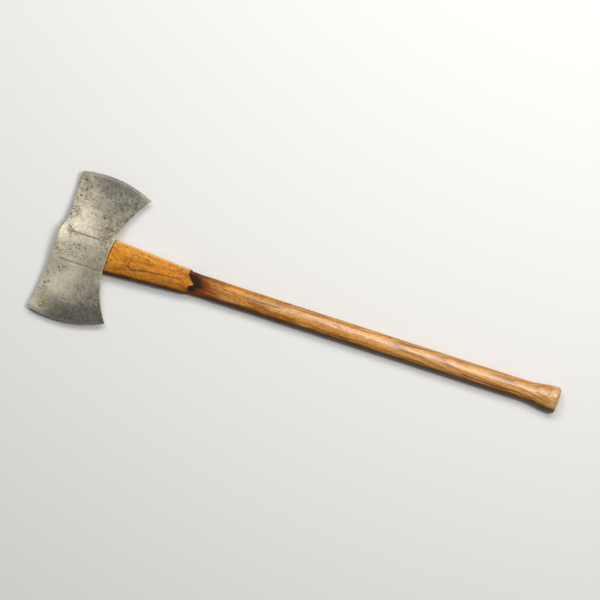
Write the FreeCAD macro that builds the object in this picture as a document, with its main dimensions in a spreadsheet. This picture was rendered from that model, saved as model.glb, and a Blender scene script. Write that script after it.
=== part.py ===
"""Double-bit felling axe: forged head with two welded steel bits, hickory handle and two wedges.

Everything is drawn in the axe's own lines and then placed. In those lines X runs along the handle from
the eye face, where the tongue shows, to the knob. Y crosses the head towards the upper bit, from the
handle's axis. Z is square to the cheeks, from the middle of the head. The axe lies on its cheek.
"""
import FreeCAD, Part
import math
import os
import Sketcher

SIZES = [
    ("HaftLength", 914.4, "eye face to the end of the knob, a 36 inch handle"),
    ("UpperReach", 134.0, "handle axis to the crown of the upper edge"),
    ("LowerReach", 134.5, "handle axis to the crown of the lower edge"),
    ("EyeThickness", 31.0, "thickness of the head at the eye"),
    ("HeadDepth", 92.6, "eye face to the underside, along the handle"),
    # outline of the head
    ("UpperEdgeRadius", 187.0, "radius of the upper edge"),
    ("UpperEdgeCentre", 52.9, "where the upper edge is furthest out"),
    ("UpperToe", 6.8, "upper toe, back from the eye face"),
    ("UpperHeel", 136.9, "upper heel, back from the eye face"),
    ("LowerEdgeRadius", 196.0, "radius of the lower edge"),
    ("LowerEdgeCentre", 39.7, "where the lower edge is furthest out"),
    ("ToeReach", 13.0, "lower toe, forward of the eye face"),
    ("LowerHeel", 123.9, "lower heel, back from the eye face"),
    ("UpperUnderside", 198.0, "radius of the underside, upper half"),
    ("LowerUnderside", 190.0, "radius of the underside, lower half"),
    ("UnderFlat", 26.0, "flat of the underside below the axis"),
    ("UpperTopRadius", 500.0, "hollow of the top side, upper half"),
    ("LowerTopRadius", 900.0, "hollow of the top side, lower half"),
    ("LugUp", 28.0, "eye face, above the axis"),
    ("LugDown", 34.0, "eye face, below the axis"),
    ("LugStep", 6.8, "drop from the eye face to the upper top side"),
    ("LugSlope", 14.0, "height that the drop takes"),
    ("ToeRound", 7.0, "worn rounding of the upper toe"),
    ("LowerToeRound", 3.0, "rounding of the lower toe"),
    ("LugRound", 5.0, "rounding of the lug's step"),
    # thickness of the head
    ("BandHalf", 25.5, "half height of the raised eye band"),
    ("BandDrop", 1.5, "crown of the eye band on each cheek"),
    ("BandLip", 1.4, "ledge from the band to the blade"),
    ("KneeReach", 72.0, "where the hollow of the blade ends"),
    ("KneeHalf", 4.8, "half thickness there"),
    ("BladeRadius", 300.0, "hollow of the blade"),
    ("TipHalf", 1.2, "half thickness of the blade faces at the edge, before grinding"),
    ("EdgeHalf", 0.3, "half thickness of the worn edge"),
    ("HoneWidth", 7.0, "width of the honed bevel"),
    ("HoneHalf", 1.2, "half thickness behind the honed bevel"),
    ("GrindWidth", 24.0, "width of the ground zone"),
    ("GrindHalf", 2.6, "half thickness behind the ground zone"),
    ("FlankWidth", 95.0, "width over which the grind runs out"),
    ("FlankHalf", 15.0, "half thickness where it has run out"),
    ("GrooveRadius", 2.3, "radius of the grooves beside the eye band"),
    ("GrooveDepth", 0.9, "depth of the grooves"),
    ("GrooveStart", 17.0, "first end of the grooves"),
    ("GrooveLength", 60.0, "length of the grooves"),
    # welded bits
    ("WeldInset", 36.0, "crown of the edge back to the weld"),
    ("CleftDepth", 13.0, "how far the bit's tongue enters the body"),
    ("WeldHalf", 3.7, "half thickness of the bit at the weld"),
    # eye and tongue
    ("EyeTopWidth", 61.0, "eye at the eye face"),
    ("EyeTopThickness", 20.5, "eye at the eye face"),
    ("EyeLowWidth", 57.0, "eye at the underside"),
    ("EyeLowThickness", 18.0, "eye at the underside"),
    ("EyeOvercut", 1.0, "eye's form past the eye face"),
    ("TongueShy", 1.5, "tongue's end below the eye face"),
    ("TongueRoot", 14.0, "tongue carried into the shoulder"),
    # handle
    ("HeadLap", 5.0, "shoulder blank carried into the head"),
    ("ShoulderWidth", 65.0, "shoulder at the underside"),
    ("ShoulderLand", 47.0, "width of the flat on its cheek"),
    ("ShoulderInset", 1.5, "shoulder's flat below the head's cheek"),
    ("WaistStation", 171.0, "middle of the shoulder"),
    ("WaistWidth", 54.6, "width there"),
    ("WaistLand", 33.0, "width of the flat there"),
    ("WaistFlat", 27.4, "thickness across the flats there"),
    ("NeckStation", 241.0, "end of the shoulder, where it steps down"),
    ("NeckWidth", 44.6, "shoulder at its end"),
    ("NeckLand", 21.0, "width of the flat there"),
    ("NeckFlat", 26.6, "thickness across the flats there"),
    ("NeckStep", 1.6, "step down all round"),
    ("GripStation", 320.0, "start of the even grip"),
    ("GripWidth", 38.6, "grip at its start"),
    ("GripThickness", 25.4, "grip at its start"),
    ("MidStation", 600.0, "middle of the grip"),
    ("MidWidth", 37.6, "grip there"),
    ("MidThickness", 25.0, "grip there"),
    ("WristBack", 64.4, "thinnest part, ahead of the knob's end"),
    ("WristWidth", 37.0, "grip there"),
    ("WristThickness", 25.0, "grip there"),
    ("RiseBack", 48.4, "where the knob begins to swell, ahead of its end"),
    ("RiseWidth", 38.6, "handle there"),
    ("RiseThickness", 25.8, "handle there"),
    ("KnobBack", 30.4, "swell of the knob, ahead of its end"),
    ("KnobWidth", 44.0, "knob there"),
    ("KnobThickness", 28.6, "knob there"),
    ("EndWidth", 48.0, "knob at its end"),
    ("EndThickness", 30.8, "knob at its end"),
    ("EndRound", 4.0, "rounded rim of the knob"),
    # wedges
    ("WedgeThickness", 5.4, "wooden wedge at the eye face"),
    ("WedgeTip", 1.2, "wooden wedge at its tip"),
    ("WedgeDepth", 62.0, "depth of the wooden wedge"),
    ("SteelWidth", 27.0, "width of the steel wedge"),
    ("SteelThickness", 3.4, "steel wedge at the eye face"),
    ("SteelTip", 0.7, "steel wedge at its tip"),
    ("SteelDepth", 27.0, "depth of the steel wedge"),
    ("SteelAngle", 38.0, "turn of the steel wedge from the wooden one"),
    # room round the blank for the shapes that cut it
    ("Margin", 12.0, "how far cutting shapes reach past what they cut"),
]

# Places worked out from the sizes. Each is an expression of the sheet.
UPPER_TOE_Y = "(UpperReach - UpperEdgeRadius + sqrt(UpperEdgeRadius^2 - (UpperEdgeCentre - UpperToe)^2))"
UPPER_HEEL_Y = "(UpperReach - UpperEdgeRadius + sqrt(UpperEdgeRadius^2 - (UpperHeel - UpperEdgeCentre)^2))"
LOWER_TOE_Y = "(-LowerReach + LowerEdgeRadius - sqrt(LowerEdgeRadius^2 - (LowerEdgeCentre + ToeReach)^2))"
LOWER_HEEL_Y = "(-LowerReach + LowerEdgeRadius - sqrt(LowerEdgeRadius^2 - (LowerHeel - LowerEdgeCentre)^2))"
BAND_EDGE_Z = "(EyeThickness / 2 - BandDrop)"
SHOULDER_FLAT = "EyeThickness - 2 * ShoulderInset"
CROWN_RADIUS = "(BandHalf^2 / (2 * BandDrop) + BandDrop / 2)"

doc = FreeCAD.newDocument("double_bit_axe")


def make_sheet():
    """Put every driving size in the sheet, one row each: name, value, meaning."""
    sheet = doc.addObject("Spreadsheet::Sheet", "Sizes")
    for row, (alias, value, meaning) in enumerate(SIZES, start=1):
        sheet.set(f"A{row}", alias)
        sheet.set(f"B{row}", str(value))
        sheet.set(f"C{row}", meaning)
        sheet.setAlias(f"B{row}", alias)
    doc.recompute()
    return sheet


sheet = make_sheet()
NAMES = sorted((alias for alias, _, _ in SIZES), key=len, reverse=True)


def linked(expression):
    """Point each size named in an expression at the sheet."""
    words = []
    word = ""
    for letter in expression + " ":
        if letter.isalnum():
            word += letter
            continue
        words.append(f"Sizes.{word}" if word in NAMES else word)
        words.append(letter)
        word = ""
    return "".join(words).strip()


def value_of(expression):
    """Number that an expression of the sizes comes to."""
    return float(sheet.evalExpression(linked(expression)))


def new_body(name):
    return doc.addObject("PartDesign::Body", name)


def new_sketch(body, name, role, across="0", lift="0"):
    """Sketch on one of the body's own planes, moved sideways in the plane by across, and off it by lift."""
    sketch = body.newObject("Sketcher::SketchObject", name)
    plane = next(item for item in body.Origin.OriginFeatures if item.Role == role)
    sketch.AttachmentSupport = [(plane, "")]
    sketch.MapMode = "FlatFace"
    for axis, expression in (("x", across), ("z", lift)):
        sketch.setExpression(f".AttachmentOffset.Base.{axis}", linked(expression))
    return sketch


def pin(sketch, curve, end, x, y):
    """Hold one end of a curve at x, y, which are expressions."""
    for kind, expression in (("DistanceX", x), ("DistanceY", y)):
        rule = Sketcher.Constraint(kind, -1, 1, curve, end, value_of(expression))
        index = sketch.addConstraint(rule)
        sketch.setExpression(f"Constraints[{index}]", linked(expression))


def arc_between(start, end, radius, side):
    """Arc of a radius between two points, its centre on one side of the way from start to end.

    side is 1 for a centre on the left and -1 for a centre on the right. An arc always runs counter-clockwise,
    so the second value tells whether it runs from end to start.
    """
    chord = end - start
    middle = (start + end) * 0.5
    left = FreeCAD.Vector(-chord.y, chord.x, 0).normalize()
    centre = middle + left * side * math.sqrt(radius ** 2 - (chord.Length / 2) ** 2)
    first = math.atan2(start.y - centre.y, start.x - centre.x)
    last = math.atan2(end.y - centre.y, end.x - centre.x)
    backwards = side < 0
    if backwards:
        first, last = last, first
    if last < first:
        last += 2 * math.pi
    circle = Part.Circle(centre, FreeCAD.Vector(0, 0, 1), radius)
    return Part.ArcOfCircle(circle, first, last), backwards


def draw_loop(sketch, corners, arcs=None):
    """Closed loop of lines through the corners, held to the sizes.

    corners are pairs of expressions. arcs gives, for the side that leaves a corner, a radius expression and
    the side of its centre.
    """
    arcs = arcs or {}
    points = [FreeCAD.Vector(value_of(x), value_of(y), 0) for x, y in corners]
    ends = []
    for index, (start, end) in enumerate(zip(points, points[1:] + points[:1])):
        if index in arcs:
            radius, side = arcs[index]
            shape, backwards = arc_between(start, end, value_of(radius), side)
        else:
            shape, backwards = Part.LineSegment(start, end), False
        curve = sketch.addGeometry(shape, False)
        ends.append((curve, 2, 1) if backwards else (curve, 1, 2))
        if index in arcs:
            rule = sketch.addConstraint(Sketcher.Constraint("Radius", curve, value_of(radius)))
            sketch.setExpression(f"Constraints[{rule}]", linked(radius))
    for (curve, _, tail), (after, head, _) in zip(ends, ends[1:] + ends[:1]):
        sketch.addConstraint(Sketcher.Constraint("Coincident", curve, tail, after, head))
    for (curve, head, _), (x, y) in zip(ends, corners):
        pin(sketch, curve, head, x, y)


def draw_ellipse(sketch, width, height):
    """Ellipse about the sketch's origin, with its width along X and its height along Y."""
    half_x, half_y = value_of(width) / 2, value_of(height) / 2
    origin = FreeCAD.Vector(0, 0, 0)
    shape = Part.Ellipse(FreeCAD.Vector(half_x, 0, 0), FreeCAD.Vector(0, half_y, 0), origin)
    curve = sketch.addGeometry(shape, False)
    sketch.exposeInternalGeometry(curve)
    sketch.addConstraint(Sketcher.Constraint("Coincident", curve, 3, -1, 1))
    long_axis, short_axis = curve + 1, curve + 2
    sketch.addConstraint(Sketcher.Constraint("Horizontal", long_axis))
    for axis, size in ((long_axis, width), (short_axis, height)):
        line = sketch.Geometry[axis]
        rule = sketch.addConstraint(Sketcher.Constraint("Distance", axis, line.length()))
        sketch.setExpression(f"Constraints[{rule}]", linked(size))


def add_pad(body, sketch, length):
    pad = body.newObject("PartDesign::Pad", f"{sketch.Name}_pad")
    pad.Profile = sketch
    pad.setExpression("Length", linked(length))
    return pad


def add_section(body, name, station, width, thickness):
    """Oval section of the handle or the eye, square to the handle's axis."""
    sketch = new_sketch(body, name, "YZ_Plane", lift=station)
    draw_ellipse(sketch, width, thickness)
    return sketch


def add_flat_section(body, name, station, width, land, thickness):
    """Section of the shoulder: two flat cheeks, each as wide as its land, and two rounded sides."""
    sketch = new_sketch(body, name, "YZ_Plane", lift=station)
    bulge = f"(({width} - {land}) / 2)"
    radius = f"((({thickness}) / 2)^2 + {bulge}^2) / (2 * {bulge})"
    right, top = f"{land} / 2", f"({thickness}) / 2"
    corners = [(right, f"-{top}"), (right, top), (f"-{right}", top), (f"-{right}", f"-{top}")]
    draw_loop(sketch, corners, {0: (radius, 1), 2: (radius, 1)})
    return sketch


def add_loft(body, name, sections):
    loft = body.newObject("PartDesign::AdditiveLoft", name)
    loft.Profile = sections[0]
    loft.Sections = sections[1:]
    return loft


def draw_head_section(body):
    """Section of the head square to the handle: crowned eye band, hollow blades, thin tips."""
    sketch = new_sketch(body, "head_section", "YZ_Plane", lift="-ToeReach - Margin")
    band, blade = BAND_EDGE_Z, f"({BAND_EDGE_Z} - BandLip)"
    upper = [("BandHalf", band), ("BandHalf + BandLip", blade), ("KneeReach", "KneeHalf"),
             ("UpperReach + Margin", "TipHalf")]
    lower = [("LowerReach + Margin", "TipHalf"), ("KneeReach", "KneeHalf"), ("BandHalf + BandLip", blade),
             ("BandHalf", band)]
    corners = list(upper)
    corners += [(y, f"-{z}") for y, z in reversed(upper)]
    corners += [(f"-({y})", f"-{z}") for y, z in reversed(lower)]
    corners += [(f"-({y})", z) for y, z in lower]
    hollow = ("BladeRadius", 1)
    arcs = {1: hollow, 5: hollow, 9: hollow, 13: hollow, 7: (CROWN_RADIUS, -1), 15: (CROWN_RADIUS, -1)}
    draw_loop(sketch, corners, arcs)
    return sketch


def draw_head_outline(body):
    """Outline of the head seen square to the cheek, with a frame round it: what lies between is cut away."""
    sketch = new_sketch(body, "head_outline", "XY_Plane")
    corners = [
        ("UpperToe", UPPER_TOE_Y),
        ("UpperHeel", UPPER_HEEL_Y),
        ("HeadDepth", "0"),
        ("HeadDepth", "-UnderFlat"),
        ("LowerHeel", LOWER_HEEL_Y),
        ("-ToeReach", LOWER_TOE_Y),
        ("0", "-LugDown"),
        ("0", "LugUp"),
        ("LugStep", "LugUp + LugSlope"),
    ]
    arcs = {
        0: ("UpperEdgeRadius", -1),
        1: ("UpperUnderside", 1),
        3: ("LowerUnderside", 1),
        4: ("LowerEdgeRadius", -1),
        5: ("LowerTopRadius", 1),
        8: ("UpperTopRadius", 1),
    }
    draw_loop(sketch, corners, arcs)
    left, right = "-ToeReach - 2 * Margin", "UpperHeel + LowerHeel"
    top, bottom = "UpperReach + 2 * Margin", "-LowerReach - 2 * Margin"
    draw_loop(sketch, [(left, bottom), (right, bottom), (right, top), (left, top)])
    return sketch


def add_bevel(body, name, radius, centre, middle):
    """Grind of one edge: turned about the middle of the edge's arc, so that it follows the edge."""
    sketch = new_sketch(body, name, "XZ_Plane", across=centre, lift=f"-({middle})")
    past = f"{radius} + Margin"
    inner = f"{radius} - FlankWidth"
    roof = "EyeThickness"
    slope = [(past, "EdgeHalf"), (radius, "EdgeHalf"), (f"{radius} - HoneWidth", "HoneHalf"),
             (f"{radius} - GrindWidth", "GrindHalf"), (inner, "FlankHalf"), (inner, roof), (past, roof)]
    draw_loop(sketch, slope)
    draw_loop(sketch, [(x, f"-{z}") for x, z in slope])
    groove = body.newObject("PartDesign::Groove", f"{name}_groove")
    groove.Profile = sketch
    groove.ReferenceAxis = (sketch, ["V_Axis"])
    groove.Angle = 360


def upright_edges(shape, places):
    """Names of the edges that stand along Z at the given places."""
    found = []
    for index, edge in enumerate(shape.Edges, start=1):
        points = [vertex.Point for vertex in edge.Vertexes]
        for x, y in places:
            if all(math.hypot(point.x - x, point.y - y) < 0.05 for point in points):
                found.append(f"Edge{index}")
    return found


def round_corners(body, name, size, places):
    """Round the outline's corners at the given places."""
    doc.recompute()
    base = body.Tip
    spots = [(value_of(x), value_of(y)) for x, y in places]
    fillet = body.newObject("PartDesign::Fillet", name)
    fillet.Base = (base, upright_edges(base.Shape, spots))
    fillet.setExpression("Radius", linked(size))


def make_head_blank():
    """Whole head as forged and ground, before the eye is punched."""
    body = new_body("head_blank")
    add_pad(body, draw_head_section(body), "ToeReach + UpperHeel + LowerHeel")
    outline = body.newObject("PartDesign::Pocket", "outline_cut")
    outline.Profile = draw_head_outline(body)
    outline.Midplane = True
    outline.setExpression("Length", linked("EyeThickness + 2 * Margin"))
    round_corners(body, "toe_round", "ToeRound", [("UpperToe", UPPER_TOE_Y)])
    round_corners(body, "lower_toe_round", "LowerToeRound", [("-ToeReach", LOWER_TOE_Y)])
    round_corners(body, "lug_round", "LugRound", [("0", "LugUp"), ("LugStep", "LugUp + LugSlope")])
    add_bevel(body, "upper_bevel", "UpperEdgeRadius", "UpperEdgeCentre", "UpperReach - UpperEdgeRadius")
    add_bevel(body, "lower_bevel", "LowerEdgeRadius", "LowerEdgeCentre", "LowerEdgeRadius - LowerReach")
    return body


def make_grooves():
    """Four round-bottomed grooves, one along each side of the eye band on each cheek."""
    grooves = []
    axis_z = f"{BAND_EDGE_Z} + GrooveRadius - GrooveDepth"
    for name, y_side, z_side in (("a", 1, 1), ("b", -1, 1), ("c", 1, -1), ("d", -1, -1)):
        groove = doc.addObject("Part::Cylinder", f"cheek_groove_{name}")
        groove.setExpression("Radius", linked("GrooveRadius"))
        groove.setExpression("Height", linked("GrooveLength"))
        groove.Placement.Rotation = FreeCAD.Rotation(FreeCAD.Vector(0, 1, 0), 90)
        groove.setExpression("Placement.Base.x", linked("GrooveStart"))
        groove.setExpression("Placement.Base.y", linked(f"{y_side} * BandHalf"))
        groove.setExpression("Placement.Base.z", linked(f"{z_side} * ({axis_z})"))
        grooves.append(groove)
    return grooves


def make_tongue():
    """Tapered oval that is the eye's hole and, once its end is trimmed, the handle's tongue."""
    body = new_body("tongue_form")
    spread_w = "(EyeTopWidth - EyeLowWidth) / HeadDepth"
    spread_t = "(EyeTopThickness - EyeLowThickness) / HeadDepth"
    low = "HeadDepth + TongueRoot"
    top = add_section(body, "tongue_top", "-EyeOvercut", f"EyeTopWidth + EyeOvercut * {spread_w}",
                      f"EyeTopThickness + EyeOvercut * {spread_t}")
    root = add_section(body, "tongue_root", low, f"EyeLowWidth - TongueRoot * {spread_w}",
                       f"EyeLowThickness - TongueRoot * {spread_t}")
    add_loft(body, "tongue_loft", [top, root])
    return body


def make_end_trim():
    """Block that trims the tongue and its wedges to just below the eye face."""
    trim = doc.addObject("Part::Box", "tongue_end_trim")
    trim.setExpression("Length", linked("2 * EyeOvercut + TongueShy"))
    trim.setExpression("Width", linked("EyeTopWidth + 2 * Margin"))
    trim.setExpression("Height", linked("EyeTopThickness + 2 * Margin"))
    trim.setExpression("Placement.Base.x", linked("-2 * EyeOvercut"))
    trim.setExpression("Placement.Base.y", linked("-(EyeTopWidth / 2 + Margin)"))
    trim.setExpression("Placement.Base.z", linked("-(EyeTopThickness / 2 + Margin)"))
    return trim


def make_haft():
    """Handle behind the head: flat-sided shoulder, step, grip and knob."""
    body = new_body("haft_form")
    shoulder = [
        add_flat_section(body, "shoulder_start", "HeadDepth - HeadLap", "ShoulderWidth", "ShoulderLand",
                         SHOULDER_FLAT),
        add_flat_section(body, "shoulder_waist", "WaistStation", "WaistWidth", "WaistLand", "WaistFlat"),
        add_flat_section(body, "shoulder_end", "NeckStation", "NeckWidth", "NeckLand", "NeckFlat"),
    ]
    add_loft(body, "shoulder_loft", shoulder)
    grip = [
        add_section(body, "neck", "NeckStation", "NeckWidth - 2 * NeckStep", "NeckFlat - NeckStep / 2"),
        add_section(body, "grip_start", "GripStation", "GripWidth", "GripThickness"),
        add_section(body, "grip_middle", "MidStation", "MidWidth", "MidThickness"),
        add_section(body, "wrist", "HaftLength - WristBack", "WristWidth", "WristThickness"),
    ]
    add_loft(body, "grip_loft", grip).Ruled = True
    knob = [
        add_section(body, "knob_start", "HaftLength - WristBack", "WristWidth", "WristThickness"),
        add_section(body, "knob_rise", "HaftLength - RiseBack", "RiseWidth", "RiseThickness"),
        add_section(body, "knob_swell", "HaftLength - KnobBack", "KnobWidth", "KnobThickness"),
        add_section(body, "knob_end", "HaftLength", "EndWidth", "EndThickness"),
    ]
    add_loft(body, "knob_loft", knob)
    doc.recompute()
    base = body.Tip
    rim = [f"Edge{index}" for index, edge in enumerate(base.Shape.Edges, start=1)
           if edge.BoundBox.XMin > value_of("HaftLength") - 0.01]
    fillet = body.newObject("PartDesign::Fillet", "knob_rim")
    fillet.Base = (base, rim)
    fillet.setExpression("Radius", linked("EndRound"))
    return body


def make_wedge(name, width, thickness, tip, depth, angle="0"):
    """Wedge driven into the tongue from the eye face, thinner inwards, turned about the handle's axis."""
    body = new_body(name)
    sketch = new_sketch(body, f"{name}_side", "XZ_Plane")
    draw_loop(sketch, [("-EyeOvercut", f"-{thickness} / 2"), (depth, f"-{tip} / 2"), (depth, f"{tip} / 2"),
                       ("-EyeOvercut", f"{thickness} / 2")])
    pad = add_pad(body, sketch, width)
    pad.Midplane = True
    body.Placement.Rotation = FreeCAD.Rotation(FreeCAD.Vector(1, 0, 0), 0)
    body.setExpression("Placement.Rotation.Angle", linked(angle))
    return body


def make_bit_form(name, side, reach):
    """Space that one bit takes: everything past the weld, and the tongue that enters the body's cleft."""
    body = new_body(name)
    sketch = new_sketch(body, f"{name}_section", "YZ_Plane", lift="-ToeReach - Margin")
    weld, past, roof = f"({reach} - WeldInset)", f"({reach} + Margin)", "EyeThickness"
    corners = [(f"{side}({weld} - CleftDepth)", "0"), (f"{side}{weld}", "WeldHalf"), (f"{side}{weld}", roof),
               (f"{side}{past}", roof), (f"{side}{past}", f"-{roof}"), (f"{side}{weld}", f"-{roof}"),
               (f"{side}{weld}", "-WeldHalf")]
    draw_loop(sketch, corners)
    add_pad(body, sketch, "ToeReach + UpperHeel + LowerHeel")
    return body


def boolean(kind, name, shapes):
    """Part boolean of two or more shapes."""
    result = doc.addObject(f"Part::{kind}", name)
    if kind == "Cut":
        result.Base, result.Tool = shapes
    else:
        result.Shapes = shapes
    return result


def place(piece):
    """Stand the axe in its frame: origin below the middle of the whole axe, lying on a cheek."""
    piece.setExpression("Placement.Base.x", linked("-(HaftLength - ToeReach) / 2"))
    piece.setExpression("Placement.Base.y", linked("-(UpperReach - LowerReach) / 2"))
    piece.setExpression("Placement.Base.z", linked("EyeThickness / 2"))
    return piece


def check_document():
    """Stop if any object failed or any piece is empty or unsound."""
    doc.recompute()
    for item in doc.Objects:
        if "Invalid" in item.State or "Error" in item.State:
            raise RuntimeError(f"{item.Name} failed: {item.State}")


def export(pieces):
    os.makedirs("parts", exist_ok=True)
    for piece in pieces:
        shape = piece.Shape
        if shape.isNull() or not shape.isValid() or len(shape.Solids) != 1:
            raise RuntimeError(f"{piece.Label} is not one sound solid")
        shape.exportStep(f"parts/{piece.Label}.step")
        print(f"{piece.Label:12s} {shape.Volume / 1000:8.1f} cm3  {shape.BoundBox}")


def build():
    blank = make_head_blank()
    eye = make_tongue()
    tongue = boolean("Cut", "trimmed_tongue", (eye, make_end_trim()))
    haft = make_haft()
    wood = make_wedge("wood_wedge_form", "EyeTopWidth + Margin", "WedgeThickness", "WedgeTip", "WedgeDepth")
    steel = make_wedge("steel_wedge_form", "SteelWidth", "SteelThickness", "SteelTip", "SteelDepth",
                       "SteelAngle")
    upper = make_bit_form("upper_bit_form", "", "UpperReach")
    lower = make_bit_form("lower_bit_form", "-", "LowerReach")
    grooves = boolean("MultiFuse", "cheek_grooves", make_grooves())
    grooved = boolean("Cut", "grooved_head", (blank, grooves))
    eyed = boolean("Cut", "eyed_head", (grooved, eye))
    bits = boolean("MultiFuse", "bit_forms", [upper, lower])
    wedges = boolean("MultiFuse", "wedge_forms", [wood, steel])
    seated = boolean("Cut", "seated_haft", (haft, blank))
    tongued = boolean("MultiFuse", "tongued_haft", [seated, tongue])
    kerfed = boolean("MultiCommon", "kerf_wedge", [tongue, wood])
    pieces = [
        boolean("Cut", "head_body", (eyed, bits)),
        boolean("MultiCommon", "upper_bit", [grooved, upper]),
        boolean("MultiCommon", "lower_bit", [grooved, lower]),
        boolean("Cut", "handle", (tongued, wedges)),
        boolean("Cut", "eye_wedge", (kerfed, steel)),
        boolean("MultiCommon", "steel_wedge", [tongue, steel]),
    ]
    for piece in pieces:
        place(piece)
    check_document()
    export(pieces)


build()
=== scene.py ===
import math
from functools import partialmethod

import bmesh
import bpy
import numpy as np
from mathutils import Matrix, Vector
from mathutils.bvhtree import BVHTree


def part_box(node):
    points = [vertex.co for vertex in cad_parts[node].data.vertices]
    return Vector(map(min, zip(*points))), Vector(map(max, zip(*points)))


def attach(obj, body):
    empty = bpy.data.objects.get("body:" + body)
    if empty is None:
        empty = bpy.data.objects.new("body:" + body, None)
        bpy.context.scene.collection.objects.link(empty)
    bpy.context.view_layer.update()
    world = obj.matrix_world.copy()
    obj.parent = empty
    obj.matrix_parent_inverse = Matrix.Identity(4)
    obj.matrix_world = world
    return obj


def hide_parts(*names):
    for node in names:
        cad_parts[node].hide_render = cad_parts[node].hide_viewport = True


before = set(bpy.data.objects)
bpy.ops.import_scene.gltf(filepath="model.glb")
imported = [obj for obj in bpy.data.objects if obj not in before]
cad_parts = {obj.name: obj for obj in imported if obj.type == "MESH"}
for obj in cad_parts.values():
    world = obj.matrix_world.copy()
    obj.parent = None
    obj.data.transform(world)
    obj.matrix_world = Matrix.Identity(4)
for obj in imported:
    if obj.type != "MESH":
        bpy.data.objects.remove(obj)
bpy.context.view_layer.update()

# Everything is in metres, in the part's frame: the axe lies on a cheek, +X runs along the handle from the
# head to the knob, +Y crosses the head towards the upper bit and +Z points out of the front cheek.

MM = 0.001
HEAD_NODES = ("head_body", "upper_bit", "lower_bit")
HAFT_NODES = ("handle", "eye_wedge", "steel_wedge")

body_low, body_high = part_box("head_body")
haft_low, haft_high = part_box("handle")
MID_Z = (body_low.z + body_high.z) / 2
AXIS_Y = (haft_low.y + haft_high.y) / 2
TONGUE_SHY = 1.5 * MM
EYE_FACE_X = haft_low.x - TONGUE_SHY
KNOB_X = haft_high.x


def from_eye(distance_mm):
    """X of a place given by its distance behind the eye face, in millimetres."""
    return EYE_FACE_X + distance_mm * MM


# ---------------------------------------------------------------- noise

def lattice(cells, seed):
    """Random number from 0 to 1 for each row of whole numbers."""
    value = np.full(len(cells), seed * 2654435761 % 4294967296, np.uint64)
    for column in range(cells.shape[1]):
        cell = (cells[:, column].astype(np.int64) & 0xFFFFFFFF).astype(np.uint64)
        value = (value ^ cell) * np.uint64(2246822519)
        value = (value ^ (value >> np.uint64(15))) & np.uint64(0xFFFFFFFF)
        value = (value * np.uint64(3266489917)) & np.uint64(0xFFFFFFFF)
        value = value ^ (value >> np.uint64(13))
    return (value & np.uint64(0xFFFFFF)).astype(float) / 0xFFFFFF


def noise(points, scale, seed):
    """Smooth random field from -1 to 1. scale is the size of its features along each axis."""
    place = points / np.asarray(scale, float)
    cell = np.floor(place)
    part = place - cell
    ease = part * part * (3 - 2 * part)
    total = np.zeros(len(points))
    dimensions = points.shape[1]
    for corner in range(2 ** dimensions):
        step = np.array([(corner >> axis) & 1 for axis in range(dimensions)])
        weight = np.prod(np.where(step, ease, 1 - ease), axis=1)
        total += weight * lattice(cell + step, seed)
    return total * 2 - 1


def fractal(points, scale, seed, octaves=4):
    """Sum of noises, each half the size and half the strength of the one before."""
    scale = np.asarray(scale, float)
    return sum(noise(points, scale / 2 ** k, seed + 31 * k) / 2 ** k for k in range(octaves))


def smooth(value, low, high):
    """0 below low and 1 above high, with an eased step between. low may be the larger."""
    share = np.clip((value - low) / (high - low), 0, 1)
    return share * share * (3 - 2 * share)


def pits(points, size, chance, seed):
    """Depth from 0 to 1 of scattered round pits about size across. chance is each place's share of pits."""
    place = points / size
    cell = np.floor(place)
    depth = np.zeros(len(points))
    for corner in np.ndindex(3, 3, 3):
        near = cell + np.array(corner) - 1
        centre = near + np.stack([lattice(near, seed + axis) for axis in range(3)], 1)
        radius = 0.30 + 0.36 * lattice(near, seed + 3)
        inside = np.clip(1 - ((place - centre) ** 2).sum(1) / radius ** 2, 0, 1)
        there = lattice(near, seed + 4) < chance
        depth = np.maximum(depth, inside * there * (0.45 + 0.55 * lattice(near, seed + 5)))
    return depth


def patches(x, y, spots):
    """Sum of soft round patches, from their middles, half widths and strengths."""
    total = np.zeros(len(x))
    for mid_x, mid_y, wide_x, wide_y, strength in spots:
        total += strength * np.exp(-((x - mid_x) / wide_x) ** 2 - ((y - mid_y) / wide_y) ** 2)
    return total


# ---------------------------------------------------------------- survey of the CAD pieces

def tree_of(names):
    """Search tree over the meshes of some CAD nodes, and their points."""
    points, faces = [], []
    for name in names:
        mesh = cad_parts[name].data
        start = len(points)
        points += [vertex.co.copy() for vertex in mesh.vertices]
        faces += [[start + index for index in polygon.vertices] for polygon in mesh.polygons]
    return BVHTree.FromPolygons(points, faces), np.array([tuple(point) for point in points])


HEAD_TREE, HEAD_POINTS = tree_of(HEAD_NODES)
HAFT_TREE = tree_of(HAFT_NODES)[0]
FAR = 1.0


def strike(tree, start, direction):
    """Where a ray from start first meets the CAD, or None."""
    return tree.ray_cast(Vector(start), Vector(direction))[0]


def link_object(name, data):
    """New object in the scene."""
    piece = bpy.data.objects.new(name, data)
    bpy.context.scene.collection.objects.link(piece)
    return piece


def make_object(name, points, faces):
    """Mesh object with smooth faces and sharp creases."""
    mesh = bpy.data.meshes.new(name)
    mesh.from_pydata([tuple(point) for point in points], [], faces)
    mesh.validate()
    mesh.shade_smooth()
    mesh.set_sharp_from_angle(angle=math.radians(38))
    return link_object(name, mesh)


def combine(piece, tool, operation):
    """Cut piece by tool, or keep only what both hold."""
    change = piece.modifiers.new("combine", "BOOLEAN")
    change.operation = operation
    change.solver = "MANIFOLD"
    change.object = tool
    bpy.context.view_layer.update()
    settled = piece.evaluated_get(bpy.context.evaluated_depsgraph_get())
    mesh = bpy.data.meshes.new_from_object(settled)
    piece.modifiers.clear()
    old = piece.data
    piece.data = mesh
    bpy.data.meshes.remove(old)


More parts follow.
